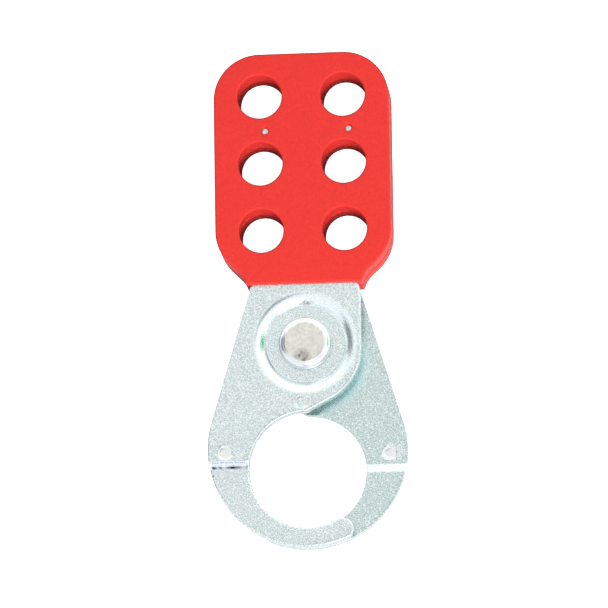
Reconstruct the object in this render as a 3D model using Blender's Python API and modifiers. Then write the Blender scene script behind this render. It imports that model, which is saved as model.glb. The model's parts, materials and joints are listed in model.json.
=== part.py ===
"""Scissor lockout hasp: two zinc-plated steel jaws with moulded red grips on one rivet.

The hasp lies flat on its back.  +X is across it, +Y runs from the jaw to the grips and +Z
comes out of the front face.  Z = 0 is the rear face and the origin is the middle of the
outline.  Both halves are the same pair of parts: the back half is the front half turned
over about the long axis, so everything is built once for the front and copied across.
"""
import math

import bmesh
import bpy
from mathutils import Matrix, Vector

MM = 0.001

# stack through the thickness
THICKNESS = 10.2 * MM            # rear face of one grip to front face of the other
STEEL = 2.5 * MM                 # sheet the jaws are stamped from
COAT = 1.175 * MM                # grip face to steel face
GRIP_GAP = 0.5 * MM              # daylight between the two grips
FIT = 0.3 * MM                   # clearance kept between neighbouring pieces
STEP = 1.275 * MM                # how far jaw and pivot boss are pressed to the middle

# grips and their padlock holes
GRIP_HALF_WIDTH = 19.4 * MM
GRIP_TOP_Y = 55.15 * MM
GRIP_TOP_CORNER = 10.2 * MM
GRIP_SHOULDER_Y = 10.95 * MM     # where the side and the sloping shoulder would cross
GRIP_SHOULDER_CORNER = 10.2 * MM
GRIP_NECK = (13.35 * MM, 5.18 * MM)
GRIP_NECK_FILLET = 5.8 * MM
GRIP_FOOT = (12.75 * MM, 3.25 * MM)
GRIP_FOOT_CORNER = 0.6 * MM
GRIP_EDGE_ROUND = 0.45 * MM
LOCK_HOLE_R = 4.885 * MM
LOCK_HOLE_LINING = 1.0 * MM
LOCK_PITCH_X = 18.4 * MM
LOCK_PITCH_Y = 15.15 * MM
LOCK_MIDDLE_Y = 30.35 * MM
PIN_MARK_R = 0.7 * MM            # left by the pins that centred the steel in the mould
PIN_MARKS = ((-8.1 * MM, 37.8 * MM), (10.3 * MM, 37.9 * MM))

# steel jaw
TAB_INSET = 1.5 * MM             # grip outline to the steel hidden inside it
KEY_HALF_WIDTH = 11.15 * MM      # narrowed neck that the plastic grips
KEY_FILLET = 4.0 * MM
NECK_HALF_WIDTH = 12.3 * MM
BACK_CORNER_Y = 1.55 * MM        # where the neck ends and the straight back edge begins
PIVOT_Y = -9.95 * MM
PIVOT_HOLE_R = 4.2 * MM
RING_Y = -33.3 * MM              # centre of the jaw's outer curve
RING_R = 21.85 * MM
BORE_Y = -38.05 * MM             # centre of the jaw opening
BORE_R = 12.7 * MM
JAW_TIP_R = 2.43 * MM
HEEL_CORNER_Y = -19.05 * MM      # where the neck edge and the heel edge would cross
HEEL_CORNER_R = 12.6 * MM
JOGGLE_Y = (-36.35 * MM, -37.95 * MM)
BEND_R = 0.9 * MM
DISH_FLOOR_R = 8.6 * MM
DISH_RIM_R = 10.6 * MM
DISH_WALL = (                    # share of the way out from the floor, share of the depth
    (0.0, 1.0),
    (0.25, 0.8),
    (0.85, 0.15),
    (1.2, 0.0),
)
BOSS_SHIFT = 0.9 * MM            # the boss behind the dish is this much wider
COIN_R = 1.5 * MM
COIN_DEPTH = 0.2 * MM
COIN_POCKET_R = 1.3 * MM
COIN_POCKET_DEPTH = 1.5 * MM
COIN_MARKS = ((-17.9 * MM, -34.2 * MM), (-0.95 * MM, -23.1 * MM))

# rivet
RIVET_SHANK_R = 3.9 * MM
RIVET_HEAD_R = 5.9 * MM
RIVET_FACE_R = 4.5 * MM
RIVET_HEAD_SIDE = 0.5 * MM
RIVET_FACE_EDGE = 0.15 * MM

# heights of the front half
STEEL_TOP = THICKNESS - COAT
STEEL_UNDER = STEEL_TOP - STEEL
GRIP_UNDER = (THICKNESS + GRIP_GAP) / 2
DISH_FLOOR_Z = STEEL_TOP - STEP
MARGIN = 2.0 * MM                # how far a cutting tool runs past the surface it leaves
SEAM = 0.003 * MM                # vertices closer than this are joined after a cut

PARTS = bpy.data.collections.new("lockout_hasp")
TOOLS = bpy.data.collections.new("cutting_tools")


def arc(centre, radius, start, end, step=5.0):
    """Points along a circular arc, angles in degrees, running from start to end."""
    count = max(2, math.ceil(abs(end - start) / step))
    points = []
    for index in range(count + 1):
        angle = math.radians(start + (end - start) * index / count)
        x = centre[0] + radius * math.cos(angle)
        y = centre[1] + radius * math.sin(angle)
        points.append((x, y))
    return points


def circle(centre, radius, segments=40):
    """Closed ring of points."""
    return arc(centre, radius, 0.0, 360.0, 360.0 / segments)[:-1]


def rounded(corners, step=7.5):
    """Polyline with each corner (x, y, radius) replaced by a tangent arc; open ends stay."""
    points = []
    last = len(corners) - 1
    for index, (x, y, radius) in enumerate(corners):
        if radius == 0.0 or index in (0, last):
            points.append((x, y))
            continue
        corner = Vector((x, y))
        before = (Vector(corners[index - 1][:2]) - corner).normalized()
        after = (Vector(corners[index + 1][:2]) - corner).normalized()
        half = before.angle(after) / 2
        reach = radius / math.tan(half)
        centre = corner + (before + after).normalized() * (radius / math.sin(half))
        first = corner + before * reach - centre
        second = corner + after * reach - centre
        start = math.degrees(math.atan2(first.y, first.x))
        turn = math.degrees(math.atan2(second.y, second.x)) - start
        turn = (turn + 180.0) % 360.0 - 180.0
        points.extend(arc(centre, radius, start, start + turn, step))
    return points


def mirrored(right_half):
    """Close an outline from its right half, listed from the top centre downwards."""
    left_half = [(-x, y) for x, y in reversed(right_half) if x > 0.0]
    return right_half + left_half


def link(mesh, name, collection):
    """Put a mesh in the scene as a named object."""
    obj = bpy.data.objects.new(name, mesh)
    collection.objects.link(obj)
    return obj


def evaluated_mesh(obj):
    """Mesh of an object with its modifiers or curve settings applied."""
    bpy.context.view_layer.update()
    graph = bpy.context.evaluated_depsgraph_get()
    return bpy.data.meshes.new_from_object(obj.evaluated_get(graph))


def prism(name, loops, low, high):
    """Flat solid from an outer loop and its holes, standing between two heights."""
    curve = bpy.data.curves.new(name, "CURVE")
    curve.dimensions = "2D"
    curve.fill_mode = "BOTH"
    curve.extrude = (high - low) / 2
    for loop in loops:
        spline = curve.splines.new("POLY")
        spline.points.add(len(loop) - 1)
        for point, (x, y) in zip(spline.points, loop):
            point.co = (x, y, 0.0, 1.0)
        spline.use_cyclic_u = True
    source = bpy.data.objects.new(name + "_outline", curve)
    TOOLS.objects.link(source)
    mesh = evaluated_mesh(source)
    bpy.data.objects.remove(source)
    mesh.transform(Matrix.Translation((0.0, 0.0, (low + high) / 2)))
    shell = bmesh.new()
    shell.from_mesh(mesh)
    bmesh.ops.remove_doubles(shell, verts=shell.verts, dist=0.000001)
    bmesh.ops.dissolve_limit(shell, angle_limit=0.001, verts=shell.verts, edges=shell.edges)
    bmesh.ops.recalc_face_normals(shell, faces=shell.faces)
    shell.to_mesh(mesh)
    shell.free()
    return link(mesh, name, TOOLS)


def turned(name, profile, centre, steps=56):
    """Solid of revolution about an upright axis from (radius, height) points."""
    mesh = bpy.data.meshes.new(name)
    points = [(radius, 0.0, height) for radius, height in profile]
    edges = [(index, index + 1) for index in range(len(points) - 1)]
    mesh.from_pydata(points, edges, [])
    source = link(mesh, name + "_profile", TOOLS)
    screw = source.modifiers.new("turn", "SCREW")
    screw.axis = "Z"
    screw.angle = math.tau
    screw.steps = steps
    screw.render_steps = steps
    screw.use_merge_vertices = True
    screw.merge_threshold = 0.000001
    solid = evaluated_mesh(source)
    bpy.data.objects.remove(source)
    solid.transform(Matrix.Translation((centre[0], centre[1], 0.0)))
    return link(solid, name, TOOLS)


def combine(target, tools, operation):
    """Cut, join or intersect a solid with tools, which are used up."""
    for tool in tools:
        boolean = target.modifiers.new("combine", "BOOLEAN")
        boolean.operation = operation
        boolean.solver = "EXACT"
        boolean.object = tool
        tidy = target.modifiers.new("tidy", "WELD")
        tidy.merge_threshold = SEAM
        mesh = evaluated_mesh(target)
        target.modifiers.clear()
        target.data = mesh
        bpy.data.objects.remove(tool)


def grip_outline():
    """Closed outline of the grip."""
    return mirrored(rounded([
        (0.0, GRIP_TOP_Y, 0.0),
        (GRIP_HALF_WIDTH, GRIP_TOP_Y, GRIP_TOP_CORNER),
        (GRIP_HALF_WIDTH, GRIP_SHOULDER_Y, GRIP_SHOULDER_CORNER),
        GRIP_NECK + (GRIP_NECK_FILLET,),
        GRIP_FOOT + (GRIP_FOOT_CORNER,),
        (0.0, GRIP_FOOT[1], 0.0),
    ]))


def tab_outline(inset, key_half_width, end_y):
    """Right half of an outline kept inside the grip's, with a straight key at the neck."""
    side = GRIP_HALF_WIDTH - inset
    run = GRIP_HALF_WIDTH - GRIP_NECK[0]
    rise = GRIP_SHOULDER_Y - GRIP_NECK[1]
    shoulder_y = GRIP_SHOULDER_Y + inset * math.tan(math.atan2(run, rise) / 2)
    key_y = shoulder_y - (side - key_half_width) * rise / run
    return rounded([
        (0.0, GRIP_TOP_Y - inset, 0.0),
        (side, GRIP_TOP_Y - inset, GRIP_TOP_CORNER - inset),
        (side, shoulder_y, GRIP_SHOULDER_CORNER - inset),
        (key_half_width, key_y, KEY_FILLET),
        (key_half_width, end_y, 0.0),
    ])


def lock_holes(radius, segments=40):
    """Rings for the padlock holes, two columns of three."""
    rings = []
    for column in (-0.5, 0.5):
        for row in (-1, 0, 1):
            centre = (column * LOCK_PITCH_X, LOCK_MIDDLE_Y + row * LOCK_PITCH_Y)
            rings.append(circle(centre, radius, segments))
    return rings


def round_tools(name, centres, radius, low, high, segments=40):
    """Upright cylinders used as cutters."""
    rings = [circle(centre, radius, segments) for centre in centres]
    return [prism(name, [ring], low, high) for ring in rings]


def make_grip():
    """Moulded grip: a rounded slab with a pocket for the steel and lined padlock holes."""
    grip = prism("grip", [grip_outline()], GRIP_UNDER, THICKNESS)
    bevel = grip.modifiers.new("round_edges", "BEVEL")
    bevel.width = GRIP_EDGE_ROUND
    bevel.segments = 2
    # the short sides of the rounded corners would otherwise hold the bevel back
    bevel.use_clamp_overlap = False
    bevel.limit_method = "ANGLE"
    bevel.angle_limit = math.radians(60.0)
    grip.data = evaluated_mesh(grip)
    grip.modifiers.clear()

    room = tab_outline(TAB_INSET - FIT, KEY_HALF_WIDTH + FIT, GRIP_FOOT[1] - MARGIN)
    linings = lock_holes(LOCK_HOLE_R + LOCK_HOLE_LINING, 32)
    loops = [mirrored(room)] + linings
    pocket = prism("pocket", loops, STEEL_UNDER - FIT, STEEL_TOP + FIT)
    combine(grip, [pocket], "DIFFERENCE")

    bores = lock_holes(LOCK_HOLE_R)
    drills = [prism("drill", [ring], GRIP_UNDER - MARGIN, THICKNESS + MARGIN) for ring in bores]
    drills += round_tools("pin", PIN_MARKS, PIN_MARK_R, STEEL_TOP, THICKNESS + MARGIN, 16)
    combine(grip, drills, "DIFFERENCE")
    return grip


def tip_centre():
    """Centre of the jaw's rounded end, which touches the outer curve and the bore."""
    outer = RING_R - JAW_TIP_R
    inner = BORE_R + JAW_TIP_R
    apart = RING_Y - BORE_Y
    down = (outer ** 2 - inner ** 2 + apart ** 2) / (2 * apart)
    across = math.sqrt(outer ** 2 - down ** 2)
    return across, RING_Y - down


def direction(origin, point):
    """Bearing in degrees of a point from an origin."""
    return math.degrees(math.atan2(point[1] - origin[1], point[0] - origin[0]))


def jaw_outline():
    """Outline of one stamping, clockwise from the top centre: tab, neck, heel, jaw, back."""
    key_end = GRIP_FOOT[1] - FIT
    tab_right = tab_outline(TAB_INSET, KEY_HALF_WIDTH, key_end)
    tab_left = [(-x, y) for x, y in reversed(tab_right[1:])]

    heel_end = (0.0, BORE_Y + BORE_R)
    heel = rounded([
        (NECK_HALF_WIDTH, key_end, 0.0),
        (NECK_HALF_WIDTH, HEEL_CORNER_Y, HEEL_CORNER_R),
        heel_end + (0.0,),
    ])

    ring = (0.0, RING_Y)
    bore = (0.0, BORE_Y)
    tip = tip_centre()
    tip_from_bore = direction(bore, tip)
    tip_from_ring = direction(ring, tip)
    bore_side = arc(bore, BORE_R, 90.0, 360.0 + tip_from_bore)[1:]
    round_end = arc(tip, JAW_TIP_R, tip_from_bore + 180.0, tip_from_ring, 12.0)[1:]

    # the straight back edge leaves the neck and meets the outer curve on a tangent
    back_corner = (-NECK_HALF_WIDTH, BACK_CORNER_Y)
    distance = math.hypot(back_corner[0], back_corner[1] - RING_Y)
    swing = math.degrees(math.acos(RING_R / distance))
    touch = direction(ring, back_corner) + swing
    outer_side = arc(ring, RING_R, tip_from_ring, touch - 360.0)[1:]
    neck_left = [back_corner, (-NECK_HALF_WIDTH, key_end)]
    return tab_right + heel + bore_side + round_end + outer_side + neck_left + tab_left


def bent_strip():
    """Side view of the sheet: flat down to the joggle, then flat again one step lower."""
    top_y, low_y = JOGGLE_Y
    far_up = GRIP_TOP_Y + MARGIN
    far_down = RING_Y - RING_R - MARGIN
    front = rounded([
        (far_up, STEEL_TOP, 0.0),
        (top_y, STEEL_TOP, BEND_R),
        (low_y, STEEL_TOP - STEP, BEND_R),
        (far_down, STEEL_TOP - STEP, 0.0),
    ], 15.0)
    rear = rounded([
        (far_down, STEEL_UNDER - STEP, 0.0),
        (low_y, STEEL_UNDER - STEP, BEND_R),
        (top_y, STEEL_UNDER, BEND_R),
        (far_up, STEEL_UNDER, 0.0),
    ], 15.0)
    width = RING_R + MARGIN
    strip = prism("jaw_plate", [front + rear], -width, width)
    # the strip is drawn in its own plane: its x is the hasp's Y and its y the hasp's Z
    turn = Matrix(((0, 0, 1, 0), (1, 0, 0, 0), (0, 1, 0, 0), (0, 0, 0, 1)))
    strip.data.transform(turn)
    return strip


def make_jaw_plate():
    """Zinc-plated stamping: bent strip trimmed to the outline, dished and pierced."""
    plate = bent_strip()
    combine(plate, [prism("trim", [jaw_outline()], -MARGIN, THICKNESS + MARGIN)], "INTERSECT")

    pivot = (0.0, PIVOT_Y)
    width = DISH_RIM_R - DISH_FLOOR_R
    wall = [(DISH_FLOOR_R + out * width, -STEP * depth) for out, depth in DISH_WALL]
    boss_edge = wall[-1][0] + BOSS_SHIFT
    boss = [(0.0, STEEL_UNDER + STEEL / 2), (boss_edge, STEEL_UNDER + STEEL / 2)]
    boss += [(radius + BOSS_SHIFT, STEEL_UNDER + drop) for radius, drop in reversed(wall)]
    boss += [(0.0, STEEL_UNDER - STEP)]
    combine(plate, [turned("boss", boss, pivot)], "UNION")
    dish = [(0.0, STEEL_TOP + MARGIN), (wall[-1][0], STEEL_TOP + MARGIN)]
    dish += [(radius, STEEL_TOP + drop) for radius, drop in reversed(wall)]
    dish += [(0.0, DISH_FLOOR_Z)]
    combine(plate, [turned("dish", dish, pivot)], "DIFFERENCE")

    reach = (STEEL_UNDER - STEP - MARGIN, STEEL_TOP + MARGIN)
    clearance = LOCK_HOLE_R + LOCK_HOLE_LINING + FIT
    piercers = [prism("pierce", [ring], *reach) for ring in lock_holes(clearance, 32)]
    piercers += round_tools("pierce_pivot", [pivot], PIVOT_HOLE_R, *reach)
    front = (STEEL_TOP - COIN_DEPTH, STEEL_TOP + MARGIN)
    rear = (STEEL_UNDER - MARGIN, STEEL_UNDER + COIN_POCKET_DEPTH)
    piercers += round_tools("coin", COIN_MARKS, COIN_R, *front, 32)
    piercers += round_tools("coin_pocket", COIN_MARKS, COIN_POCKET_R, *rear, 32)
    combine(plate, piercers, "DIFFERENCE")
    return plate


def make_rivet():
    """Headed pin through both bosses; its two end faces are flush with the grips."""
    under_head = DISH_FLOOR_Z + FIT
    middle = THICKNESS / 2
    shoulder = RIVET_HEAD_R - RIVET_FACE_R
    knee = under_head + RIVET_HEAD_SIDE
    rise = THICKNESS - knee
    upper = [(0.0, THICKNESS), (RIVET_FACE_R - RIVET_FACE_EDGE, THICKNESS)]
    for degrees in (80.0, 60.0, 40.0, 20.0, 0.0):
        angle = math.radians(degrees)
        radius = RIVET_FACE_R + shoulder * math.cos(angle)
        upper.append((radius, knee + rise * math.sin(angle)))
    upper += [(RIVET_HEAD_R, under_head), (RIVET_SHANK_R, under_head)]
    lower = [(radius, 2 * middle - height) for radius, height in reversed(upper)]
    return turned("rivet", upper + lower, (0.0, PIVOT_Y))


def material(name, colour, roughness, metallic):
    """Principled material."""
    made = bpy.data.materials.new(name)
    made.use_nodes = True
    shader = made.node_tree.nodes["Principled BSDF"]
    shader.inputs["Base Color"].default_value = colour + (1.0,)
    shader.inputs["Roughness"].default_value = roughness
    shader.inputs["Metallic"].default_value = metallic
    made.diffuse_color = colour + (1.0,)
    return made


def finish(name, mesh, surface, parent=None):
    """Place a finished solid in the hasp with its origin on the pivot axis."""
    pivot = Vector((0.0, PIVOT_Y, THICKNESS / 2))
    solid = mesh.copy()
    solid.transform(Matrix.Translation(-pivot))
    solid.name = name
    solid.materials.clear()
    solid.materials.append(surface)
    obj = link(solid, name, PARTS)
    if parent is None:
        obj.location = pivot
    else:
        obj.parent = parent
    return obj


def build():
    """Make the hasp."""
    for obj in list(bpy.data.objects):
        bpy.data.objects.remove(obj)
    bpy.context.scene.collection.children.link(PARTS)
    bpy.context.scene.collection.children.link(TOOLS)

    grip = make_grip()
    plate = make_jaw_plate()
    rivet = make_rivet()

    # a half turn about the long axis at mid thickness makes the back half
    to_middle = Matrix.Translation((0.0, 0.0, THICKNESS / 2))
    turn_over = to_middle @ Matrix.Rotation(math.pi, 4, "Y") @ to_middle.inverted()
    back_grip = grip.data.copy()
    back_grip.transform(turn_over)
    back_plate = plate.data.copy()
    back_plate.transform(turn_over)

    back_zinc = material("back_zinc_plate", (0.60, 0.64, 0.64), 0.38, 1.0)
    front_zinc = material("front_zinc_plate", (0.62, 0.66, 0.66), 0.38, 1.0)
    back_red = material("back_grip_red", (0.78, 0.045, 0.035), 0.45, 0.0)
    front_red = material("front_grip_red", (0.80, 0.05, 0.04), 0.45, 0.0)
    rivet_steel = material("rivet_steel", (0.66, 0.66, 0.62), 0.32, 1.0)

    back = finish("back_jaw_plate", back_plate, back_zinc)
    finish("back_grip", back_grip, back_red, back)
    finish("pivot_rivet", rivet.data, rivet_steel, back)
    front = finish("front_jaw_plate", plate.data, front_zinc)
    finish("front_grip", grip.data, front_red, front)

    for tool in list(TOOLS.objects):
        bpy.data.objects.remove(tool)
    bpy.data.collections.remove(TOOLS)
    bpy.context.view_layer.update()


build()
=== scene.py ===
import json
import math

import bpy
import numpy as np
from mathutils import Matrix, Vector
from mathutils.geometry import delaunay_2d_cdt
from mathutils.kdtree import KDTree


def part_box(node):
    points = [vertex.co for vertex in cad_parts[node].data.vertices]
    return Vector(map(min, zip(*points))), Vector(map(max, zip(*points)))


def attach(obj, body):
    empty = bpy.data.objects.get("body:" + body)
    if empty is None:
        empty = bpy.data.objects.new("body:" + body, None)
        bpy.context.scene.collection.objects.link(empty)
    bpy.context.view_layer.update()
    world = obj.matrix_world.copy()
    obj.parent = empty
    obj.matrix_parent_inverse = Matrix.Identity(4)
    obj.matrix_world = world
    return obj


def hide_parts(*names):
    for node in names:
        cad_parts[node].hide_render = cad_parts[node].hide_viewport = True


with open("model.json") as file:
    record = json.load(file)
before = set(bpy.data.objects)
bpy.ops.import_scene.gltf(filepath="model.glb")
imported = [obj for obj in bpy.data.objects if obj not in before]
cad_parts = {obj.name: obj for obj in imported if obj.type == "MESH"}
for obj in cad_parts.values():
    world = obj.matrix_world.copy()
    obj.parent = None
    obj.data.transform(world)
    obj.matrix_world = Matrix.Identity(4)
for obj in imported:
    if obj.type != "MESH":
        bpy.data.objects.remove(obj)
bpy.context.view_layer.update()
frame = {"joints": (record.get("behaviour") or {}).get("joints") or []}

# The hasp lies on its back: X across, Y from the jaw to the grips, Z out of its front face.
# Shapes are worked out in millimetres and turned into metres when a mesh is made.
MM = 0.001


# ---------------------------------------------------------------- sizes read from the frame

def box_mm(node):
    """Lowest and highest corner of a CAD node in millimetres."""
    low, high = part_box(node)
    return low / MM, high / MM


GRIP_LOW, GRIP_HIGH = box_mm("front_grip")
PLATE_LOW, PLATE_HIGH = box_mm("front_jaw_plate")
RIVET_TOP = box_mm("pivot_rivet")[1].z
PIVOT = Vector(frame["joints"][0]["pos_m"]) / MM
PIVOT_SPOT = (PIVOT.x, PIVOT.y)
MIDDLE_Z = PIVOT.z

GRIP_TOP = GRIP_HIGH.z
GRIP_UNDER = GRIP_LOW.z
GRIP_HALF_WIDTH = GRIP_HIGH.x
GRIP_END_Y = GRIP_HIGH.y
GRIP_FOOT_Y = GRIP_LOW.y
STEEL_TOP = PLATE_HIGH.z
STEP = 1.275                          # the dish and the lower jaw are pressed this far in
STEEL = STEEL_TOP - PLATE_LOW.z - STEP
STEEL_UNDER = STEEL_TOP - STEEL

# grips
GRIP_CORNER_R = 10.2
SHOULDER = (GRIP_HALF_WIDTH, 10.95)   # where the side and the sloping shoulder would cross
NECK_CORNER = (13.35, 5.18)
NECK_CORNER_R = 5.6
FOOT_HALF_WIDTH = 12.75
FOOT_CORNER_R = 0.62
LOCK_R = 4.885
LOCK_PITCH = Vector((18.4, 15.15))
LOCK_MIDDLE_Y = 30.35
LOCK_CENTRES = [
    (column * LOCK_PITCH.x, LOCK_MIDDLE_Y + row * LOCK_PITCH.y)
    for column in (-0.5, 0.5)
    for row in (-1, 0, 1)
]
PIN_R = 0.74
PIN_DEPTH = 1.6                       # past the coat, so that the steel shows at the bottom
PIN_CENTRES = ((-8.1, 37.8), (10.3, 37.9))
COAT_ROUND = 0.5                      # rounding of the grips' outer edges
INNER_ROUND = 0.45                    # and of the edges that face the other grip
HOLE_ROUND = 0.42                     # rims of the padlock holes
PIN_SEGMENTS = 28

# plates
TAB_INSET = 1.5                       # from the grip's outline in to the tab's
TAB_CORNER_R = 8.7
TAB_SHOULDER_Y = SHOULDER[1] + 0.65
TAB_HOLE_R = LOCK_R + 1.2
KEY = (11.15, 5.2, 2.0)               # half width, Y and radius of the waist that the plastic holds
NECK = (12.3, 1.55, 8.0)              # half width, Y and radius where the neck begins
RING_R = -PLATE_LOW.x
RING_Y = PLATE_LOW.y + RING_R
BORE_R = 12.7
BORE_Y = -38.05
TIP_R = 2.43
HEEL_CORNER = (NECK[0], -19.05, 12.6)
HEEL_FROM_X = 2.5                     # the part of the outline that is called the heel
HEEL_Y = (-25.5, -8.0)
JOGGLE_FRONT = (-36.0, -37.2)         # where the step starts and ends on the outer skin
JOGGLE_REAR = (-36.6, -38.45)         # and on the skin that faces the other jaw
DISH_FLOOR_R = 8.6
DISH_RIM_R = 11.5
DISH_SHIFT = 0.9                      # the dish is this much wider on the inner skin
BEND_TIGHT = 0.1                      # rounding of a joggle's bends, as a share of its ramp
BEND_LOOSE = 0.5
PIVOT_HOLE_R = 4.2
DIE_ROLL = 0.5                        # rounded edge on the side that the punch came in from
BREAK_EDGE = 0.16                     # sharper edge on the side that it came out of
HIDDEN_ROUND = 0.1                    # edge of the tab's holes, inside the plastic
COIN_R = 1.55
COIN_CENTRES = ((-17.9, -34.1), (-0.95, -23.15))
DISC_DEPTH = 0.2
POCKET_DEPTH = 0.38

# skin of the plates
CREASE_SHADE_X = (-20.8, -13.0)              # painted shade in the crease at the front joggle's foot, along this stretch
CREASE_SHADE_Y = JOGGLE_FRONT[1] + 0.05
CREASE_SHADE_REACH = (0.17, 0.32)            # full within the first distance, gone beyond the second
DISH_SHADE_SPOT = (-0.1, 9.1)             # painted shade: dark speckled patch on the dish wall, measured from the pivot
DISH_SHADE_SIZE = (1.9, 0.6)
DISH_SHADE_REACH = (0.4, 1.2)             # full and gone, as shares of that size
DISH_SHADE_STRENGTH = 0.8
# burnished bends of the dish, which also get a lighter colour as a painted highlight
BURNISH_AND_HIGHLIGHT_RADII = (8.5, 8.7, 11.2, 11.8)
# painted bluish reflection on the skin that faces the other plate, beside that plate's heel
HEEL_REFLECTION_REACH = (0.9, 2.1)               # from the other plate's heel
HEEL_REFLECTION_STRENGTH = 0.8
HEEL_REFLECTION_FADE_Y = (-24.5, -21.5, -14.0, -9.0)
HEEL_REFLECTION_FADE = (0.4, 1.0, 0.7, 0.1)
SKIN_SEED = 7
RAGGED_START = -30.0                  # raggedness is drawn every grain and read every step
RAGGED_LENGTH = 60.0
RAGGED_GRAIN = 0.5
RAGGED_STEP = 0.05

# rivet
FACE_R = 4.5
FACE_CORNER = 0.1                     # thin bright corner round the turned flat
HEAD_R = 5.9
HEAD_EDGE = 0.45                      # upright rim under the rounded shoulder
SHANK_R = 3.9
# painted shade: a dark patch on the rivet's turned flat, towards the jaw
RIVET_SHADE_SPOT = (-0.6, -3.4)            # on the turned flat, measured from its centre
RIVET_SHADE_REACH = (0.8, 2.3)

# fineness of the meshes
SAME_SPOT = 1e-6                      # points nearer than this are one
PLATE_SIDE = 0.45                     # longest side of an outline
GRIP_SIDE = 0.9
SHARPEST = 0.6                        # least cosine that an inset corner is stretched by
PLATE_GRID = 1.3                      # spacing of the loose grid inside a cap
GRIP_GRID = 1.6
ROW_RATIO = 0.866                     # the grid's rows, against its spacing
EDGE_GAP = 0.12                       # detail stays this far from a cap's edges
EDGE_SHARE = 0.4                      # the grid stays this share of its spacing from the edges
DETAIL_SHARE = 0.5                    # and this share from the detail
FILL_TOLERANCE = 1e-7
RING_STEP = 0.22                      # between the rings of points over the dish wall
ROW_STEP = 0.12                       # between the rows of points over the joggle
ROW_MARGIN = 0.7                      # and how far the rows go on past it
CORNER_REACH = 0.4                    # the rows this near the joggle's foot are the fine ones
CRISP_STEPS = (-0.12, -0.04, 0.04, 0.12)
FLOOR_RINGS = (6.6, 7.4, 8.0)
WALL_SEGMENTS = 150
FLOOR_SEGMENTS = 90
BORE_SEGMENTS = 64

# textures: scales per metre, reliefs in metres
ZINC_GRAIN = 3600.0
ZINC_CRYSTALS = 3300.0
ZINC_CLOUDS = 140.0
ZINC_ROUGHNESS = (0.25, 0.15)         # on the flats, and where it is burnished
RED_GRAIN = 2600.0
RED_CLOUDS = 120.0
RED_ROUGHNESS = (0.44, 0.54)
LATHE_RINGS = 1100.0
LATHE_SMEAR = 900.0
RIVET_ROUGHNESS = (0.34, 0.20)        # on the turned flat, and on the shoulder
GRAIN_DEPTH = 0.00005
LATHE_DEPTH = 0.00003

# base colours
FRONT_ZINC = (0.78, 0.885, 0.885)
# darker copy of the front zinc for the back plate: painted shade
BACK_ZINC_SHADED = (0.68, 0.81, 0.79)
GLINT = (0.97, 0.99, 1.0)
HEEL_REFLECTION_BLUE = (0.74, 0.99, 1.0)            # painted bluish reflection beside the other plate's heel
COINED_ZINC = (0.84, 0.87, 0.86)
# near black for the painted shade in the joggle's crease and on the dish wall
PAINTED_SHADE_DARK = (0.02, 0.025, 0.05)
RED = (0.35, 0.0155, 0.0130)
# darker copy of the red for the back grip: painted shade
BACK_RED_SHADED = tuple(channel * 0.96 for channel in RED)
RED_SHEEN = (1.0, 0.50, 0.42)
TURNED_DARK = (0.66, 0.65, 0.60)
TURNED_LIGHT = (0.86, 0.86, 0.80)
# dark of the painted shade on the rivet's turned flat
RIVET_SHADE_DARK = (0.20, 0.19, 0.17)
PLATED_SHOULDER = (0.80, 0.83, 0.84)

# studio, in metres
FLOOR_REACH = 4.0                     # from the middle to each side
SEEN_FLOOR_Z = -0.0001
BOUNCE_FLOOR_Z = -0.0002
KEY_DISTANCE = 1.2
KEY_WIDTH = 0.75
KEY_WATTS = 45.0
KEY_DIRECTION = (0.28, -0.76, 0.62)   # seen from the hasp

# camera, in metres, degrees and, for the lens and the sensor, millimetres
CAMERA_TILT = 12.05                   # off the plates' normal, towards the jaw
CAMERA_SIDE = 4.71                    # towards +X
CAMERA_ROLL = -0.87
CAMERA_DISTANCE = 1.5335
CAMERA_TARGET = Vector((0.0, -0.0016, GRIP_TOP * MM))
CAMERA_LENS = 414.5
CAMERA_SENSOR = 36.0


# ---------------------------------------------------------------- flat outlines

def arc(centre, radius, start, end, step=2.0):
    """Points along a circular arc, angles in degrees."""
    count = max(2, math.ceil(abs(end - start) / step))
    angles = np.radians(np.linspace(start, end, count + 1))
    return [(centre[0] + radius * math.cos(a), centre[1] + radius * math.sin(a)) for a in angles]


def circle(centre, radius, segments=96):
    """Closed ring of points."""
    return arc(centre, radius, 0.0, 360.0, 360.0 / segments)[:-1]


def rounded(corners, step=3.0):
    """Polyline with each inner corner (x, y, radius) replaced by a tangent arc."""
    points = []
    last = len(corners) - 1
    for index, (x, y, radius) in enumerate(corners):
        if radius == 0.0 or index in (0, last):
            points.append((x, y))
            continue
        corner = Vector((x, y))
        before = (Vector(corners[index - 1][:2]) - corner).normalized()
        after = (Vector(corners[index + 1][:2]) - corner).normalized()
        half = before.angle(after) / 2
        centre = corner + (before + after).normalized() * (radius / math.sin(half))
        first = corner + before * (radius / math.tan(half)) - centre
        second = corner + after * (radius / math.tan(half)) - centre
        start = math.degrees(math.atan2(first.y, first.x))
        turn = math.degrees(math.atan2(second.y, second.x)) - start
        turn = (turn + 180.0) % 360.0 - 180.0
        points.extend(arc(centre, radius, start, start + turn, step))
    return points


def mirrored(right_half):
    """Close an outline from its right half, listed from the top centre downwards."""
    return right_half + [(-x, y) for x, y in reversed(right_half) if x > 0.0]


def evenly(points, longest):
    """Add points so that no side of a closed outline is longer than this."""
    filled = []
    for here, there in zip(points, points[1:] + points[:1]):
        distance = math.dist(here, there)
        if distance < SAME_SPOT:
            continue
        count = max(1, math.ceil(distance / longest))
        for index in range(count):
            share = index / count
            filled.append((here[0] + (there[0] - here[0]) * share,
                           here[1] + (there[1] - here[1]) * share))
    return filled


def bearing(origin, point):
    """Direction in degrees of a point from an origin."""
    return math.degrees(math.atan2(point[1] - origin[1], point[0] - origin[0]))


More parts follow.
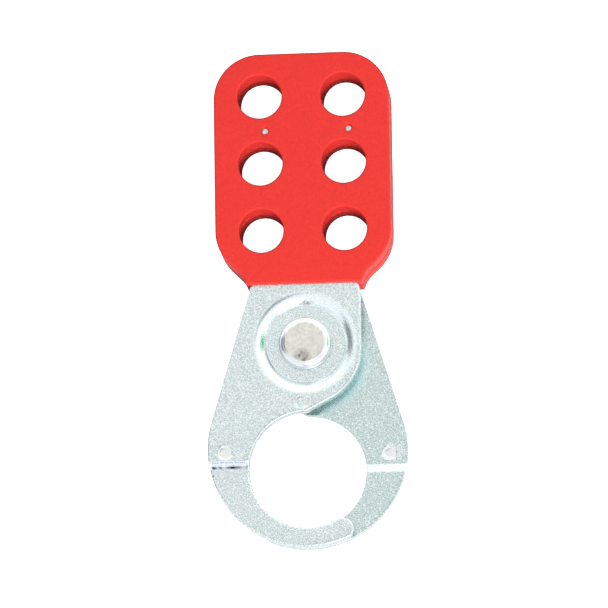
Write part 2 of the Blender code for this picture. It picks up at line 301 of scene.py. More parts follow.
def grip_outline():
    """The red grip seen from the front."""
    return mirrored(rounded([
        (0.0, GRIP_END_Y, 0.0),
        (GRIP_HALF_WIDTH, GRIP_END_Y, GRIP_CORNER_R),
        SHOULDER + (GRIP_CORNER_R,),
        NECK_CORNER + (NECK_CORNER_R,),
        (FOOT_HALF_WIDTH, GRIP_FOOT_Y, FOOT_CORNER_R),
        (0.0, GRIP_FOOT_Y, 0.0),
    ]))


def plate_outline():
    """One steel stamping seen from the front, clockwise from the top centre of its tab."""
    tab_end = (0.0, GRIP_END_Y - TAB_INSET, 0.0)
    tab_corner = (GRIP_HALF_WIDTH - TAB_INSET, GRIP_END_Y - TAB_INSET, TAB_CORNER_R)
    shoulder = (GRIP_HALF_WIDTH - TAB_INSET, TAB_SHOULDER_Y, TAB_CORNER_R)
    heel = rounded([tab_end, tab_corner, shoulder, KEY, NECK, HEEL_CORNER,
                    (0.0, BORE_Y + BORE_R, 0.0)])

    ring = (0.0, RING_Y)
    bore = (0.0, BORE_Y)
    outer = RING_R - TIP_R
    inner = BORE_R + TIP_R
    apart = RING_Y - BORE_Y
    down = (outer ** 2 - inner ** 2 + apart ** 2) / (2 * apart)
    tip = (math.sqrt(outer ** 2 - down ** 2), RING_Y - down)
    tip_from_bore = bearing(bore, tip)
    tip_from_ring = bearing(ring, tip)
    bore_side = arc(bore, BORE_R, 90.0, 360.0 + tip_from_bore)[1:]
    round_end = arc(tip, TIP_R, tip_from_bore + 180.0, tip_from_ring, 6.0)[1:]

    # the straight back edge leaves the outer curve on a tangent and runs up to the neck
    neck_x, neck_y = -NECK[0], NECK[1]
    distance = math.hypot(neck_x, neck_y - RING_Y)
    touch = bearing(ring, (neck_x, neck_y)) + math.degrees(math.acos(RING_R / distance))
    outer_side = arc(ring, RING_R, tip_from_ring, touch - 360.0)[1:]
    left = [(-x, y, radius) for x, y, radius in (NECK, KEY, shoulder, tab_corner)]
    back = rounded([outer_side[-1] + (0.0,)] + left + [tab_end])
    return heel + bore_side + round_end + outer_side + back[1:-1]


# ---------------------------------------------------------------- sheet solids with soft edges

def anticlockwise(points):
    """The same loop, running anticlockwise."""
    area = 0.0
    for (x0, y0), (x1, y1) in zip(points, points[1:] + points[:1]):
        area += x0 * y1 - x1 * y0
    return points if area > 0 else points[::-1]


def inset(loop, distance):
    """Move a loop's points to its left, which is into the material."""
    points = np.array(loop)
    ahead = np.roll(points, -1, axis=0) - points
    ahead /= np.linalg.norm(ahead, axis=1)[:, None]
    behind = np.roll(ahead, 1, axis=0)
    along = ahead + behind
    along /= np.linalg.norm(along, axis=1)[:, None]
    stretch = 1.0 / np.clip((along * ahead).sum(1), SHARPEST, 1.0)
    left = np.stack([-along[:, 1], along[:, 0]], axis=1)
    return points + left * (distance * stretch)[:, None]


def inside(points, loops):
    """Which points lie inside the outer loop and outside its holes."""
    result = np.zeros(len(points), bool)
    for loop in loops:
        ring = np.array(loop)
        after = np.roll(ring, -1, axis=0)
        x, y = points[:, 0:1], points[:, 1:2]
        crosses = (ring[:, 1] > y) != (after[:, 1] > y)
        rise = np.where(after[:, 1] == ring[:, 1], 1e-12, after[:, 1] - ring[:, 1])
        at = ring[:, 0] + (y - ring[:, 1]) / rise * (after[:, 0] - ring[:, 0])
        result ^= (crosses & (x < at)).sum(1) % 2 == 1
    return result


def tree_of(points):
    """Search tree over flat points."""
    tree = KDTree(max(1, len(points)))
    for index, (x, y) in enumerate(points):
        tree.insert((x, y, 0.0), index)
    tree.balance()
    return tree


def gap(tree, x, y):
    """Distance from a flat point to the nearest point of a search tree."""
    return tree.find((x, y, 0.0))[2]


def mesh_in_metres(name, points, faces):
    """Smooth-shaded mesh from points in millimetres."""
    data = bpy.data.meshes.new(name)
    data.from_pydata([tuple(c * MM for c in point) for point in points], [], faces)
    data.validate()
    data.shade_smooth()
    return data


def fill_points(loops, extra, spacing):
    """Points to put inside a cap: detail where asked for, a loose grid elsewhere."""
    outer = np.array(loops[0])
    low, high = outer.min(0), outer.max(0)
    xs = np.arange(low[0], high[0], spacing)
    ys = np.arange(low[1], high[1], spacing * ROW_RATIO)
    grid = [(x + (row % 2) * spacing / 2, y) for row, y in enumerate(ys) for x in xs]
    edge = tree_of([point for loop in loops for point in loop])
    detail = tree_of(extra)
    kept = [(x, y) for x, y in extra if gap(edge, x, y) > EDGE_GAP]
    for x, y in grid:
        crowds_edge = gap(edge, x, y) < spacing * EDGE_SHARE
        crowds_detail = extra and gap(detail, x, y) < spacing * DETAIL_SHARE
        if not crowds_edge and not crowds_detail:
            kept.append((x, y))
    kept = np.array(kept)
    return kept[inside(kept, loops)]


class Sheet:
    """Collects a solid made from a flat outline: two caps, soft edges, walls and pits."""

    def __init__(self, top, under, lift_top=None, lift_under=None):
        self.top = top
        self.under = under
        self.lift_top = lift_top or (lambda x, y: 0.0 * x)
        self.lift_under = lift_under or self.lift_top
        self.points = []
        self.faces = []

    def add(self, flat, heights):
        """Add points; the lift is shared between the two skins by height."""
        flat = np.asarray(flat, float)
        heights = np.broadcast_to(np.asarray(heights, float), (len(flat),))
        share = np.clip((self.top - heights) / (self.top - self.under), 0.0, 1.0)
        x, y = flat[:, 0], flat[:, 1]
        lift = self.lift_top(x, y) * (1 - share) + self.lift_under(x, y) * share
        first = len(self.points)
        self.points.extend(np.column_stack([flat, heights + lift]).tolist())
        return list(range(first, first + len(flat)))

    def band(self, upper, lower):
        """Faces between two rings, the upper one listed with the material on its left."""
        count = len(upper)
        for index in range(count):
            after = (index + 1) % count
            self.faces.append((upper[index], lower[index], lower[after], upper[after]))

    def wall(self, loop, top_round, under_round, steps=5):
        """Soft edge, wall and soft edge round one loop; returns its two cap rings."""
        quarter = [math.pi / 2 * index / steps for index in range(steps + 1)]
        levels = [
            (top_round * (1 - math.sin(a)), self.top - top_round * (1 - math.cos(a)))
            for a in quarter
        ]
        levels += [
            (under_round * (1 - math.cos(a)), self.under + under_round * (1 - math.sin(a)))
            for a in quarter
        ]
        rings = [self.add(inset(loop, distance), height) for distance, height in levels]
        for upper, lower in zip(rings, rings[1:]):
            self.band(upper, lower)
        return rings[0], rings[-1]

    def pit(self, centre, profile, from_top, segments=40):
        """Blind round pit; profile is (radius, depth) from the surface to the floor."""
        sign = -1.0 if from_top else 1.0
        level = self.top if from_top else self.under
        rings = []
        for radius, depth in profile:
            ring = circle(centre, radius, segments)[::-1]
            rings.append(self.add(ring, level + sign * depth))
        for outer, inner in zip(rings, rings[1:]):
            if from_top:
                self.band(outer, inner)
            else:
                self.band(inner, outer)
        middle = self.add([centre], level + sign * profile[-1][1])[0]
        last = rings[-1]
        for here, there in zip(last, last[1:] + last[:1]):
            self.faces.append((here, middle, there) if from_top else (there, middle, here))
        return rings[0]

    def cap(self, rings, extra, spacing, from_top):
        """Close one skin between its rings, the first of which is the outline."""
        ids = [index for ring in rings for index in ring]
        loops = [[tuple(self.points[index][:2]) for index in ring] for ring in rings]
        flat = [Vector(point) for loop in loops for point in loop]
        edges = []
        start = 0
        for loop in loops:
            count = len(loop)
            edges += [(start + index, start + (index + 1) % count) for index in range(count)]
            start += count
        added = fill_points(loops, extra, spacing)
        level = self.top if from_top else self.under
        ids += self.add(added, level)
        flat += [Vector(point) for point in added]
        made = delaunay_2d_cdt(flat, edges, [], 0, FILL_TOLERANCE, True)
        spots, triangles, sources = made[0], made[2], made[3]
        spots = np.array([tuple(point) for point in spots])
        middles = spots[np.array(triangles)].mean(axis=1)
        for face, wanted in zip(triangles, inside(middles, loops)):
            if wanted:
                corners = [ids[sources[index][0]] for index in face]
                self.faces.append(tuple(corners) if from_top else tuple(corners[::-1]))

    def mesh(self, name):
        """Mesh in metres of what has been collected."""
        return mesh_in_metres(name, self.points, self.faces)


def place(name, data, body, replaced, surface):
    """Show a mesh in place of a CAD node."""
    obj = bpy.data.objects.new(name, data)
    bpy.context.scene.collection.objects.link(obj)
    data.materials.append(surface)
    weighted = obj.modifiers.new("even_shading", "WEIGHTED_NORMAL")
    weighted.mode = "FACE_AREA"
    weighted.weight = 80
    weighted.keep_sharp = True
    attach(obj, body)
    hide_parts(replaced)
    return obj


def turned_over(data, name):
    """Copy of a front part, given half a turn about the hasp's long axis."""
    to_middle = Matrix.Translation((0.0, 0.0, MIDDLE_Z * MM))
    copy = data.copy()
    copy.name = name
    copy.transform(to_middle @ Matrix.Rotation(math.pi, 4, "Y") @ to_middle.inverted())
    return copy


# ---------------------------------------------------------------- steel stampings

def ease(t):
    """Smooth step from 0 to 1."""
    t = np.clip(t, 0.0, 1.0)
    return t * t * (3.0 - 2.0 * t)


def ramp(t, soft_start, soft_end):
    """0 to 1 along a straight ramp with a rounded start and end."""
    fine = np.linspace(-0.3, 1.3, 400)
    slope = ease((fine + soft_start / 2) / soft_start)
    slope = slope * (1 - ease((fine - 1.0 + soft_end / 2) / soft_end))
    total = np.concatenate([[0.0], np.cumsum((slope[1:] + slope[:-1]) / 2)])
    return np.interp(t, fine, total / total[-1])


def pressed(dish_shift, joggle, soft_start, soft_end):
    """Height function of one skin of the sheet: the dish and the joggle pressed into it."""
    def lift(x, y):
        radius = np.hypot(x - PIVOT.x, y - PIVOT.y) - dish_shift
        wall = np.clip((radius - DISH_FLOOR_R) / (DISH_RIM_R - DISH_FLOOR_R), 0.0, 1.0)
        dish = (1.0 - wall) ** 2
        along = (joggle[0] - y) / (joggle[0] - joggle[1])
        return -STEP * np.maximum(dish, ramp(along, soft_start, soft_end))
    return lift


def bend_detail():
    """Points that carry the shape of the dish and of the joggle."""
    points = []
    crisp = [DISH_FLOOR_R + step for step in CRISP_STEPS]
    wall = list(np.arange(DISH_FLOOR_R + 0.3, DISH_RIM_R + 1.6, RING_STEP))
    for radius in crisp + wall:
        points += circle(PIVOT_SPOT, radius, WALL_SEGMENTS)
    for radius in FLOOR_RINGS:
        points += circle(PIVOT_SPOT, radius, FLOOR_SEGMENTS)
    for y in np.arange(JOGGLE_REAR[1] - ROW_MARGIN, JOGGLE_FRONT[0] + ROW_MARGIN, ROW_STEP):
        along_corner = abs(y - JOGGLE_FRONT[1]) < CORNER_REACH
        step = RING_STEP if along_corner else PLATE_SIDE
        points += [(x, y) for x in np.arange(-RING_R, RING_R, step)]
    return points


def other_heel():
    """Search tree over the heel of the other plate, which covers part of this one."""
    outline = evenly(plate_outline(), PLATE_SIDE)
    return tree_of([(-x, y) for x, y in outline
                    if x > HEEL_FROM_X and HEEL_Y[0] < y < HEEL_Y[1]])


def mark_skin(data):
    """Record on the mesh where the sheet is coined smooth, where it is burnished with a painted
    highlight, and where painted shade and a painted bluish reflection lie.
    """
    rng = np.random.default_rng(SKIN_SEED)
    grains = np.arange(0.0, RAGGED_LENGTH, RAGGED_GRAIN)
    steps = np.arange(0.0, RAGGED_LENGTH, RAGGED_STEP)
    ragged = np.interp(steps, grains, rng.random(len(grains)))
    heel = other_heel()

    count = len(data.vertices)
    marks = {name: np.zeros(count) for name in ("coined", "painted_shade", "burnish_and_highlight", "painted_heel_reflection")}
    for index, vertex in enumerate(data.vertices):
        x, y, z = vertex.co / MM
        middle = STEEL_TOP - STEEL / 2 - (STEP if y < JOGGLE_FRONT[1] else 0.0)
        front_skin = z > middle
        if math.dist((x, y), COIN_CENTRES[0]) < COIN_R + 0.02:
            marks["coined"][index] = 1.0

        # painted shade: a ragged dark line in the crease at the front joggle's foot
        if front_skin and CREASE_SHADE_X[0] < x < CREASE_SHADE_X[1]:
            patchy = ragged[int((x - RAGGED_START) / RAGGED_STEP)]
            line = np.interp(abs(y - CREASE_SHADE_Y), CREASE_SHADE_REACH, (1.0, 0.0))
            marks["painted_shade"][index] = line * min(1.0, 0.1 + 1.2 * patchy)
        elif front_skin:
            # painted shade: a dark speckled patch on the dish wall, towards the grips
            from_dish_shade = math.hypot((x - DISH_SHADE_SPOT[0]) / DISH_SHADE_SIZE[0],
                                (y - PIVOT.y - DISH_SHADE_SPOT[1]) / DISH_SHADE_SIZE[1])
            fade = np.interp(from_dish_shade, DISH_SHADE_REACH, (DISH_SHADE_STRENGTH, 0.0))
            marks["painted_shade"][index] = rng.random() * fade

        # burnished bends: smoother, and lighter in colour as a painted highlight
        radius = math.dist((x, y), PIVOT_SPOT)
        dish = np.interp(radius, BURNISH_AND_HIGHLIGHT_RADII, (0.0, 1.0, 1.0, 0.0))
        high, low = JOGGLE_FRONT if front_skin else JOGGLE_REAR
        joggle = np.interp(y, (low - 0.1, low + 0.1, high - 0.2, high + 0.1), (0, 1, 1, 0))
        marks["burnish_and_highlight"][index] = max(dish, joggle)

        # painted bluish reflection beside the other plate's heel
        if not front_skin:
            near = np.interp(gap(heel, x, y), HEEL_REFLECTION_REACH, (HEEL_REFLECTION_STRENGTH, 0.0))
            marks["painted_heel_reflection"][index] = near * np.interp(y, HEEL_REFLECTION_FADE_Y, HEEL_REFLECTION_FADE)
    for name, values in marks.items():
        data.attributes.new(name, "FLOAT", "POINT").data.foreach_set("value", values)


def jaw_plate():
    """Stamping with soft sheared edges, pressed dish, joggle and coined marks."""
    front = pressed(0.0, JOGGLE_FRONT, BEND_LOOSE, BEND_TIGHT)
    rear = pressed(DISH_SHIFT, JOGGLE_REAR, BEND_TIGHT, BEND_LOOSE)
    sheet = Sheet(STEEL_TOP, STEEL_UNDER, front, rear)
    outline = anticlockwise(evenly(plate_outline(), PLATE_SIDE))
    holes = [circle(centre, TAB_HOLE_R, BORE_SEGMENTS)[::-1] for centre in LOCK_CENTRES]
    holes.append(circle(PIVOT_SPOT, PIVOT_HOLE_R, BORE_SEGMENTS)[::-1])
    edges = [(outline, DIE_ROLL, BREAK_EDGE)]
    edges += [(hole, HIDDEN_ROUND, HIDDEN_ROUND) for hole in holes]
    tops, unders = [], []
    for loop, top_round, under_round in edges:
        top_ring, under_ring = sheet.wall(loop, top_round, under_round)
        tops.append(top_ring)
        unders.append(under_ring)
    disc = [(COIN_R + 0.08, 0.0), (COIN_R + 0.03, 0.02), (COIN_R - 0.03, 0.16),
            (COIN_R - 0.1, DISC_DEPTH), (COIN_R * 0.5, DISC_DEPTH)]
    pocket = [(COIN_R - 0.05, 0.0), (COIN_R - 0.1, 0.05), (COIN_R - 0.16, 0.3),
              (COIN_R - 0.3, POCKET_DEPTH - 0.02), (COIN_R * 0.5, POCKET_DEPTH)]
    for centre in COIN_CENTRES:
        tops.append(sheet.pit(centre, disc, True))
        unders.append(sheet.pit(centre, pocket, False))
    detail = bend_detail()
    sheet.cap(tops, detail, PLATE_GRID, True)
    sheet.cap(unders, detail, PLATE_GRID, False)
    data = sheet.mesh("front_stamping")
    mark_skin(data)
    return data


# ---------------------------------------------------------------- moulded grips

def grip():
    """Moulded slab with six padlock holes and two pin marks."""
    sheet = Sheet(GRIP_TOP, GRIP_UNDER)
    outline = anticlockwise(evenly(grip_outline(), GRIP_SIDE))
    top_ring, under_ring = sheet.wall(outline, COAT_ROUND, INNER_ROUND)
    tops, unders = [top_ring], [under_ring]
    for centre in LOCK_CENTRES:
        top_ring, under_ring = sheet.wall(circle(centre, LOCK_R)[::-1], HOLE_ROUND, HOLE_ROUND)
        tops.append(top_ring)
        unders.append(under_ring)
    mark = [(PIN_R + 0.24, 0.0), (PIN_R + 0.12, 0.06), (PIN_R + 0.04, 0.22),
            (PIN_R - 0.08, 0.8), (PIN_R - 0.12, PIN_DEPTH)]
    for centre in PIN_CENTRES:
        tops.append(sheet.pit(centre, mark, True, PIN_SEGMENTS))
    sheet.cap(tops, [], GRIP_GRID, True)
    sheet.cap(unders, [], GRIP_GRID, False)
    return sheet.mesh("front_moulding")


# ---------------------------------------------------------------- rivet

def revolve(name, profile, segments=128):
    """Solid of revolution about the pivot from (radius, height) points, top to bottom."""
    points = [(0.0, 0.0, profile[0][1])]
    rings = []
    for radius, height in profile[1:-1]:
        ring = circle((0.0, 0.0), radius, segments)
        rings.append(range(len(points), len(points) + segments))
        points += [(x, y, height) for x, y in ring]
    points.append((0.0, 0.0, profile[-1][1]))
    faces = []
    for index in range(segments):
        after = (index + 1) % segments
        faces.append((0, rings[0][index], rings[0][after]))
        for upper, lower in zip(rings, rings[1:]):
            faces.append((upper[index], lower[index], lower[after], upper[after]))
        faces.append((len(points) - 1, rings[-1][after], rings[-1][index]))
    placed = [(x + PIVOT.x, y + PIVOT.y, z) for x, y, z in points]
    return mesh_in_metres(name, placed, faces)


def rivet():
    """Headed pin: a turned flat, a thin corner, a rounded shoulder and the shank."""
    top = RIVET_TOP
    under_head = STEEL_TOP - STEP + 0.02
    knee = under_head + HEAD_EDGE
    upper = [(0.0, top), (FACE_R * 0.35, top), (FACE_R * 0.7, top), (FACE_R - 0.3, top),
             (FACE_R - FACE_CORNER, top - 0.02), (FACE_R, top - FACE_CORNER)]
    for degrees in np.linspace(78.0, 0.0, 10):
        angle = math.radians(degrees)
        radius = FACE_R + (HEAD_R - FACE_R) * math.cos(angle)
        upper.append((radius, knee + (top - 0.12 - knee) * math.sin(angle)))
    upper += [(HEAD_R, under_head + 0.1), (HEAD_R - 0.1, under_head),
              (SHANK_R + 0.1, under_head), (SHANK_R, under_head - 0.1)]
    lower = [(radius, 2 * MIDDLE_Z - height) for radius, height in reversed(upper)]
    return revolve("rivet_turned", upper + lower)


# ---------------------------------------------------------------- materials

def nodes_of(name):
    """New material, its node tree, its shader and the socket of object coordinates."""
    surface = bpy.data.materials.new(name)
    surface.use_nodes = True
    tree = surface.node_tree
    shader = tree.nodes["Principled BSDF"]
    spot = tree.nodes.new("ShaderNodeTexCoord").outputs["Object"]
    return surface, tree, shader, spot


def texture(tree, kind, vector, **settings):
    """Texture node with its options and sockets set by name."""
    node = tree.nodes.new(kind)
    tree.links.new(vector, node.inputs["Vector"])
    for key, value in settings.items():
        if key in ("wave_type", "rings_direction"):
            setattr(node, key, value)
        else:
            node.inputs[key.replace("_", " ")].default_value = value
    return node


def noise(tree, vector, scale, detail, roughness):
    """Value of a noise texture."""
    node = texture(tree, "ShaderNodeTexNoise", vector, Scale=scale, Detail=detail,
                   Roughness=roughness)
    return node.outputs["Fac"]


def band(tree, value, low, high, to_low=0.0, to_high=1.0):
    """Map a value from one range to another, clamped."""
    node = tree.nodes.new("ShaderNodeMapRange")
    tree.links.new(value, node.inputs["Value"])
    for key, number in zip(("From Min", "From Max", "To Min", "To Max"),
                           (low, high, to_low, to_high)):
        node.inputs[key].default_value = number
    return node.outputs["Result"]


def grey(level):
    """Neutral colour."""
    return (level, level, level)


def mix(tree, factor, first, second):
    """Mix two colours, or a colour socket with a colour, by a factor socket."""
    node = tree.nodes.new("ShaderNodeMix")
    node.data_type = "RGBA"
    tree.links.new(factor, node.inputs["Factor"])
    for socket, value in ((node.inputs["A"], first), (node.inputs["B"], second)):
        if isinstance(value, tuple):
            socket.default_value = value + (1.0,)
        else:
            tree.links.new(value, socket)
    return node.outputs["Result"]


def times(tree, first, second):
    """Product of two sockets."""
    node = tree.nodes.new("ShaderNodeMath")
    node.operation = "MULTIPLY"
    tree.links.new(first, node.inputs[0])
    tree.links.new(second, node.inputs[1])
    return node.outputs["Value"]


def bump(tree, height, strength, distance, normal=None):
    """Bump node, stacked on another if given."""
    node = tree.nodes.new("ShaderNodeBump")
    node.inputs["Strength"].default_value = strength
    node.inputs["Distance"].default_value = distance
    tree.links.new(height, node.inputs["Height"])
    if normal is not None:
        tree.links.new(normal, node.inputs["Normal"])
    return node.outputs["Normal"]


def mesh_value(tree, name):
    """Value stored on the mesh."""
    node = tree.nodes.new("ShaderNodeAttribute")
    node.attribute_name = name
    return node.outputs["Fac"]


def zinc(name, tint):
    """Bright zinc plate: frosty grain of light and dark crystals, polished in the bends with a
    painted highlight, painted shade in the joggle's crease and on the dish wall, and a painted
    bluish reflection beside the other plate's heel.
    """
    surface, tree, shader, spot = nodes_of(name)
    grain = noise(tree, spot, ZINC_GRAIN, 2.0, 0.7)
    cells = texture(tree, "ShaderNodeTexVoronoi", spot, Scale=ZINC_CRYSTALS)
    cloud = noise(tree, spot, ZINC_CLOUDS, 4.0, 0.6)
    pick = tree.nodes.new("ShaderNodeSeparateColor")
    tree.links.new(cells.outputs["Color"], pick.inputs["Color"])
    burnish_and_highlight = mesh_value(tree, "burnish_and_highlight")

    dark = tuple(channel * 0.66 for channel in tint)
    light = tuple(min(1.0, channel * 1.16) for channel in tint)
    frosted = mix(tree, band(tree, grain, 0.34, 0.66), dark, light)
    glints = band(tree, pick.outputs["Red"], 0.86, 1.0, 0.0, 0.9)
    bright = mix(tree, glints, frosted, GLINT)
    pits = band(tree, pick.outputs["Green"], 0.88, 1.0, 0.0, 0.5)
    speckled = mix(tree, pits, bright, dark)
    clouds = band(tree, cloud, 0.3, 0.75, 0.0, 0.12)
    clouded = mix(tree, clouds, speckled, dark)
    # lighter colour on the burnished bends: a painted highlight
    bends = mix(tree, band(tree, burnish_and_highlight, 0.0, 1.0, 0.0, 0.6), clouded, light)
    # painted bluish reflection beside the other plate's heel
    painted_heel_reflection = mix(tree, mesh_value(tree, "painted_heel_reflection"), bends, HEEL_REFLECTION_BLUE)
    smooth = mix(tree, mesh_value(tree, "coined"), painted_heel_reflection, COINED_ZINC)
    # painted shade in the joggle's crease and on the dish wall
    painted_shade = mix(tree, mesh_value(tree, "painted_shade"), smooth, PAINTED_SHADE_DARK)
    tree.links.new(painted_shade, shader.inputs["Base Color"])
    shader.inputs["Metallic"].default_value = 1.0
    rough = band(tree, burnish_and_highlight, 0.0, 1.0, *ZINC_ROUGHNESS)
    tree.links.new(rough, shader.inputs["Roughness"])

    facets = bump(tree, pick.outputs["Blue"], 0.45, GRAIN_DEPTH)
    fine = bump(tree, grain, 0.45, GRAIN_DEPTH, facets)
    tree.links.new(fine, shader.inputs["Normal"])
    return surface


def red_plastic(name, colour):
    """Satin moulded plastic: very fine spark texture and a trace of colour variation."""
    surface, tree, shader, spot = nodes_of(name)
    grain = noise(tree, spot, RED_GRAIN, 2.0, 0.6)
    cloud = noise(tree, spot, RED_CLOUDS, 4.0, 0.6)
    deeper = tuple(channel * 0.84 for channel in colour)
    tone = mix(tree, band(tree, cloud, 0.3, 0.7, 0.0, 0.3), colour, deeper)
    fine = mix(tree, band(tree, grain, 0.36, 0.64), tone, deeper)
    tree.links.new(fine, shader.inputs["Base Color"])
    rough = band(tree, grain, 0.3, 0.7, *RED_ROUGHNESS)
    tree.links.new(rough, shader.inputs["Roughness"])
    shader.inputs["Specular Tint"].default_value = RED_SHEEN + (1.0,)
    shader.inputs["Specular IOR Level"].default_value = 0.40
    tree.links.new(bump(tree, grain, 0.25, GRAIN_DEPTH), shader.inputs["Normal"])
    return surface


def vector_math(tree, operation, vector, constant=None):
    """Vector Math node on a socket and, where it takes one, a constant vector."""
    node = tree.nodes.new("ShaderNodeVectorMath")
    node.operation = operation
    tree.links.new(vector, node.inputs[0])
    if constant is not None:
        node.inputs[1].default_value = constant
    return node


def turned_steel(name):
    """Rivet steel: warm grey turned end faces with lathe rings and a patch of painted shade towards
    the jaw, and a bright plated shoulder.
    """
    surface, tree, shader, spot = nodes_of(name)
    shift = tree.nodes.new("ShaderNodeMapping")
    tree.links.new(spot, shift.inputs["Vector"])
    shift.inputs["Location"].default_value = (-PIVOT.x * MM, -PIVOT.y * MM, 0.0)
    centred = shift.outputs["Vector"]
    flat = vector_math(tree, "MULTIPLY", centred, (1.0, 1.0, 0.0)).outputs["Vector"]
    radius = vector_math(tree, "LENGTH", flat).outputs["Value"]

    rings = texture(tree, "ShaderNodeTexWave", centred, wave_type="RINGS", rings_direction="Z",
                    Scale=LATHE_RINGS, Distortion=1.5, Detail=2.0, Detail_Scale=2.0)
    smear = noise(tree, centred, LATHE_SMEAR, 4.0, 0.7)
    tone = mix(tree, band(tree, smear, 0.34, 0.66), TURNED_DARK, TURNED_LIGHT)
    # painted shade on the turned flat, towards the jaw
    rivet_shade_spot = (RIVET_SHADE_SPOT[0] * MM, RIVET_SHADE_SPOT[1] * MM, 0.0)
    from_rivet_shade = vector_math(tree, "DISTANCE", flat, rivet_shade_spot).outputs["Value"]
    near = band(tree, from_rivet_shade, RIVET_SHADE_REACH[1] * MM, RIVET_SHADE_REACH[0] * MM)
    rivet_shade = times(tree, near, band(tree, smear, 0.38, 0.54, 0.0, 0.9))
    rivet_shaded = mix(tree, rivet_shade, tone, RIVET_SHADE_DARK)
    corner = ((FACE_R - FACE_CORNER) * MM, FACE_R * MM)
    plated = mix(tree, band(tree, radius, *corner), rivet_shaded, PLATED_SHOULDER)
    tree.links.new(plated, shader.inputs["Base Color"])
    shader.inputs["Metallic"].default_value = 1.0
    tree.links.new(band(tree, radius, *corner, *RIVET_ROUGHNESS), shader.inputs["Roughness"])
    ringed = bump(tree, rings.outputs["Fac"], 0.12, LATHE_DEPTH)
    grained = bump(tree, smear, 0.15, LATHE_DEPTH, ringed)
    tree.links.new(grained, shader.inputs["Normal"])
    return surface


# ---------------------------------------------------------------- the hasp

plate_mesh = jaw_plate()
back_plate_mesh = turned_over(plate_mesh, "back_stamping")
grip_mesh = grip()
back_grip_mesh = turned_over(grip_mesh, "back_moulding")

place("front_plate_steel", plate_mesh, "front_half", "front_jaw_plate",
      zinc("front_zinc", FRONT_ZINC))
# the back plate gets the darker copy of the zinc: painted shade
place("back_plate_steel", back_plate_mesh, "back_half", "back_jaw_plate",
      zinc("back_zinc_shaded", BACK_ZINC_SHADED))
place("front_grip_moulding", grip_mesh, "front_half", "front_grip",
      red_plastic("front_red", RED))
# the back grip gets the darker copy of the red: painted shade
place("back_grip_moulding", back_grip_mesh, "back_half", "back_grip",
      red_plastic("back_red_shaded", BACK_RED_SHADED))
place("rivet_turned_pin", rivet(), "back_half", "pivot_rivet",
      turned_steel("rivet_metal"))


# ---------------------------------------------------------------- studio

def floor_plane(name, height, brightness, glow):
    """Wide pale sheet under the hasp."""
    data = bpy.data.meshes.new(name)
    corners = [(-1, -1), (1, -1), (1, 1), (-1, 1)]
    spots = [(x * FLOOR_REACH, y * FLOOR_REACH, height) for x, y in corners]
    data.from_pydata(spots, [], [(0, 1, 2, 3)])
    surface = bpy.data.materials.new(name)
    surface.use_nodes = True
    shader = surface.node_tree.nodes["Principled BSDF"]
    shader.inputs["Base Color"].default_value = grey(brightness) + (1.0,)
    shader.inputs["Roughness"].default_value = 0.9
    shader.inputs["Specular IOR Level"].default_value = 0.0
    shader.inputs["Emission Color"].default_value = grey(1.0) + (1.0,)
    shader.inputs["Emission Strength"].default_value = glow
    data.materials.append(surface)
    obj = bpy.data.objects.new(name, data)
    bpy.context.scene.collection.objects.link(obj)
    return obj


def studio_floor():
    """A glowing white floor for the eye, and a plain one that throws light back up."""
    seen = floor_plane("floor_seen", SEEN_FLOOR_Z, 0.9, 1.0)
    seen.visible_diffuse = False
    seen.visible_glossy = False
    seen.visible_shadow = False
    bounce = floor_plane("floor_bounce", BOUNCE_FLOOR_Z, 0.36, 0.0)
    bounce.visible_camera = False
    bounce.visible_shadow = False


def key_light():
    """Large softbox beyond the jaw, kept out of the metal's reflections."""
    light = bpy.data.lights.new("key_softbox", "AREA")
    light.shape = "DISK"
    light.size = KEY_WIDTH
    light.energy = KEY_WATTS
    obj = bpy.data.objects.new("key_softbox", light)
    away = Vector(KEY_DIRECTION).normalized()
    facing = away.to_track_quat("Z", "Y").to_matrix().to_4x4()
    obj.matrix_world = Matrix.Translation(away * KEY_DISTANCE) @ facing
    obj.visible_glossy = False
    obj.visible_camera = False
    bpy.context.scene.collection.objects.link(obj)


def soft_range(tree, value, rise_from, rise_to, fall_from, fall_to):
    """1 inside a range of a direction's component and 0 outside, with soft ends."""
    rise = band(tree, value, rise_from, rise_to)
    fall = band(tree, value, fall_from, fall_to, 1.0, 0.0)
    return times(tree, rise, fall)


def panel(tree, across, upward, outward):
    """Mask of a panel at one side of the sky. Each argument is a component of the direction
    with its limits: soft ranges across and upward, and a soft start outward."""
    window = times(tree, soft_range(tree, *across), soft_range(tree, *upward))
    return times(tree, window, band(tree, *outward))


def toward(tree, direction, aim, inner, outer):
    """1 within an angle of a direction and 0 beyond a wider one, angles in degrees."""
    dot = vector_math(tree, "DOT_PRODUCT", direction, Vector(aim).normalized())
    edges = math.cos(math.radians(outer)), math.cos(math.radians(inner))
    return band(tree, dot.outputs["Value"], *edges)


def open_sky(tree, direction, y, z):
    """White dome, brighter over the grips, with a light rim above the floor."""
    low = band(tree, z, 0.90, 0.60)
    over_grips = mix(tree, low, grey(1.50), grey(1.28))
    grip_side = toward(tree, direction, (0.5, 0.87, 0.0), 70.0, 95.0)
    dome = mix(tree, grip_side, (1.05, 1.06, 1.10), over_grips)
    horizon = mix(tree, band(tree, y, -0.10, 0.30), (1.18, 1.18, 1.20), grey(2.1))
    return mix(tree, band(tree, z, 0.32, 0.20), dome, horizon)


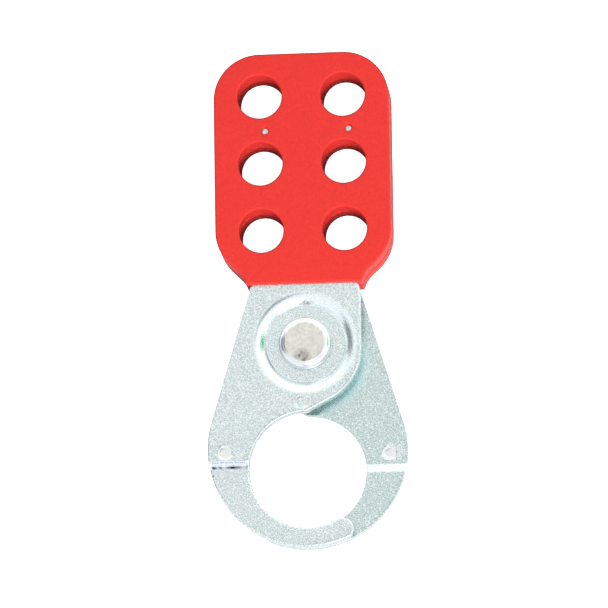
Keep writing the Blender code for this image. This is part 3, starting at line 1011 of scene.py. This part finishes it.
def studio_light():
    """The sky, a calm patch overhead, the softbox's glow, and small darker panels that draw
    the bends and corners of the bright metal."""
    world = bpy.data.worlds.new("studio")
    world.use_nodes = True
    tree = world.node_tree
    background = tree.nodes["Background"]
    direction = tree.nodes.new("ShaderNodeTexCoord").outputs["Generated"]
    parts = tree.nodes.new("ShaderNodeSeparateXYZ")
    tree.links.new(direction, parts.inputs["Vector"])
    x, y, z = parts.outputs["X"], parts.outputs["Y"], parts.outputs["Z"]

    left = panel(tree, (y, -0.25, -0.10, 0.34, 0.46), (z, 0.10, 0.18, 0.66, 0.86),
                 (x, -0.30, -0.50))
    right = panel(tree, (y, -0.05, 0.05, 0.26, 0.36), (z, 0.30, 0.38, 0.62, 0.74),
                  (x, 0.35, 0.55))
    front = panel(tree, (x, -0.22, -0.12, 0.10, 0.18), (z, 0.15, 0.22, 0.42, 0.50),
                  (y, -0.6, -0.75))
    overhead = toward(tree, direction, (-0.04, 0.08, 1.0), 18.0, 38.0)
    softbox = toward(tree, direction, KEY_DIRECTION, 14.0, 20.0)
    above = toward(tree, direction, (0.14, -0.05, 0.99), 7.0, 13.0)
    patches = (
        (overhead, grey(1.0)),
        (softbox, grey(2.6)),
        (left, (0.22, 0.23, 0.25)),
        (right, (0.05, 0.48, 0.24)),
        (front, (0.12, 0.14, 0.45)),
        (above, (0.22, 0.24, 0.32)),
    )
    radiance = open_sky(tree, direction, y, z)
    for mask, colour in patches:
        radiance = mix(tree, mask, radiance, colour)
    tree.links.new(radiance, background.inputs["Color"])
    background.inputs["Strength"].default_value = 1.0
    bpy.context.scene.world = world


def photo_camera():
    """Long lens looking down on the hasp, a little from its jaw end and its right."""
    tilt = math.radians(CAMERA_TILT)
    side = math.radians(CAMERA_SIDE)
    back = Vector((math.sin(side) * math.cos(tilt), -math.sin(tilt),
                   math.cos(side) * math.cos(tilt)))
    right = Vector((0.0, 1.0, 0.0)).cross(back).normalized()
    up = back.cross(right)
    roll = Matrix.Rotation(math.radians(CAMERA_ROLL), 4, "Z")
    turn = Matrix((right, up, back)).transposed().to_4x4() @ roll
    camera = bpy.data.cameras.new("photo_camera")
    camera.lens = CAMERA_LENS
    camera.sensor_width = CAMERA_SENSOR
    camera.clip_start = 0.05
    camera.clip_end = 20.0
    obj = bpy.data.objects.new("photo_camera", camera)
    obj.matrix_world = Matrix.Translation(CAMERA_TARGET + back * CAMERA_DISTANCE) @ turn
    bpy.context.scene.collection.objects.link(obj)
    bpy.context.scene.camera = obj


studio_floor()
key_light()
studio_light()
photo_camera()
bpy.context.scene.view_settings.view_transform = "Standard"
